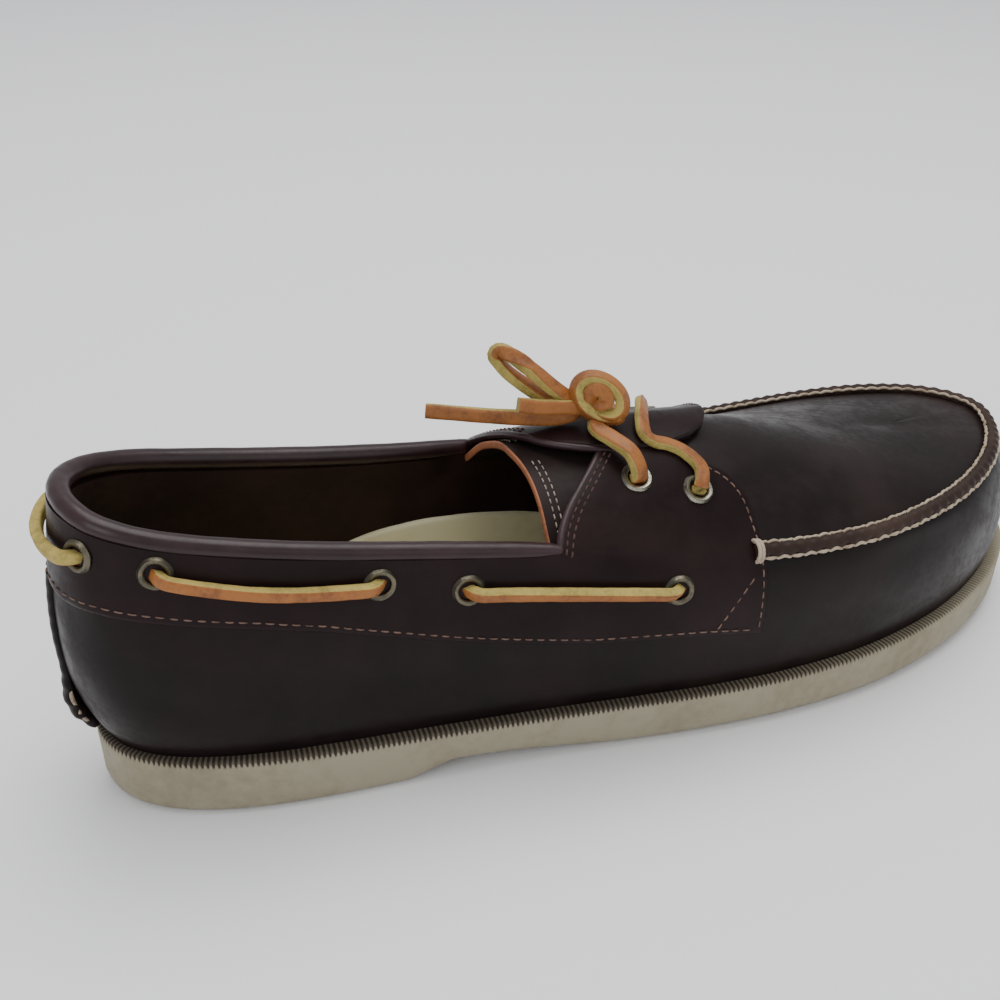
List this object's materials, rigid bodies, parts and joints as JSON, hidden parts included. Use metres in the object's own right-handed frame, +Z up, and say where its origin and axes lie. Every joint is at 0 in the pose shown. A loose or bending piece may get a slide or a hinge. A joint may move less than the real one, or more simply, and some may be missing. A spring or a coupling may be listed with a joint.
{
  "type": "boat_shoe",
  "caption": "Right-foot leather boat shoe with moccasin toe, rolled collar, rawhide lace run round the collar and tied over the throat, and a flat pale rubber sole.",
  "frame": {"origin": "centre of the plan box of everything but the free lace, on the ground plane", "axes": "+X heel to toe, +Y towards the inner side of the foot, +Z up"},
  "size_m": [0.3039, 0.1029, 0.1086],
  "materials": {
    "outsole_rubber": "matte",
    "insole_board": "matte",
    "upper_leather": "satin",
    "tongue_leather": "satin",
    "eyelet_metal": "worn",
    "lace_rawhide": "matte"
  },
  "bodies": {
    "root": {"outsole": "outsole_rubber", "insole": "insole_board", "upper": "upper_leather", "tongue": "tongue_leather", "eyelet_lateral_heel": "eyelet_metal", "eyelet_lateral_rear_back": "eyelet_metal", "eyelet_lateral_rear_front": "eyelet_metal", "eyelet_lateral_front_back": "eyelet_metal", "eyelet_lateral_front_front": "eyelet_metal", "eyelet_lateral_saddle_back": "eyelet_metal", "eyelet_lateral_saddle_front": "eyelet_metal", "eyelet_medial_heel": "eyelet_metal", "eyelet_medial_rear_back": "eyelet_metal", "eyelet_medial_rear_front": "eyelet_metal", "eyelet_medial_front_back": "eyelet_metal", "eyelet_medial_front_front": "eyelet_metal", "eyelet_medial_saddle_back": "eyelet_metal", "eyelet_medial_saddle_front": "eyelet_metal", "lace_bar_heel": "lace_rawhide", "lace_bar_lateral_rear": "lace_rawhide", "lace_bar_lateral_front": "lace_rawhide", "lace_bar_medial_rear": "lace_rawhide", "lace_bar_medial_front": "lace_rawhide", "lace_bar_throat": "lace_rawhide", "lace_knot": "lace_rawhide", "lace_rise_lateral": "lace_rawhide", "lace_rise_medial": "lace_rawhide", "lace_loop": "lace_rawhide", "lace_end_short": "lace_rawhide", "lace_end_long": "lace_rawhide"}
  },
  "joints": []
}
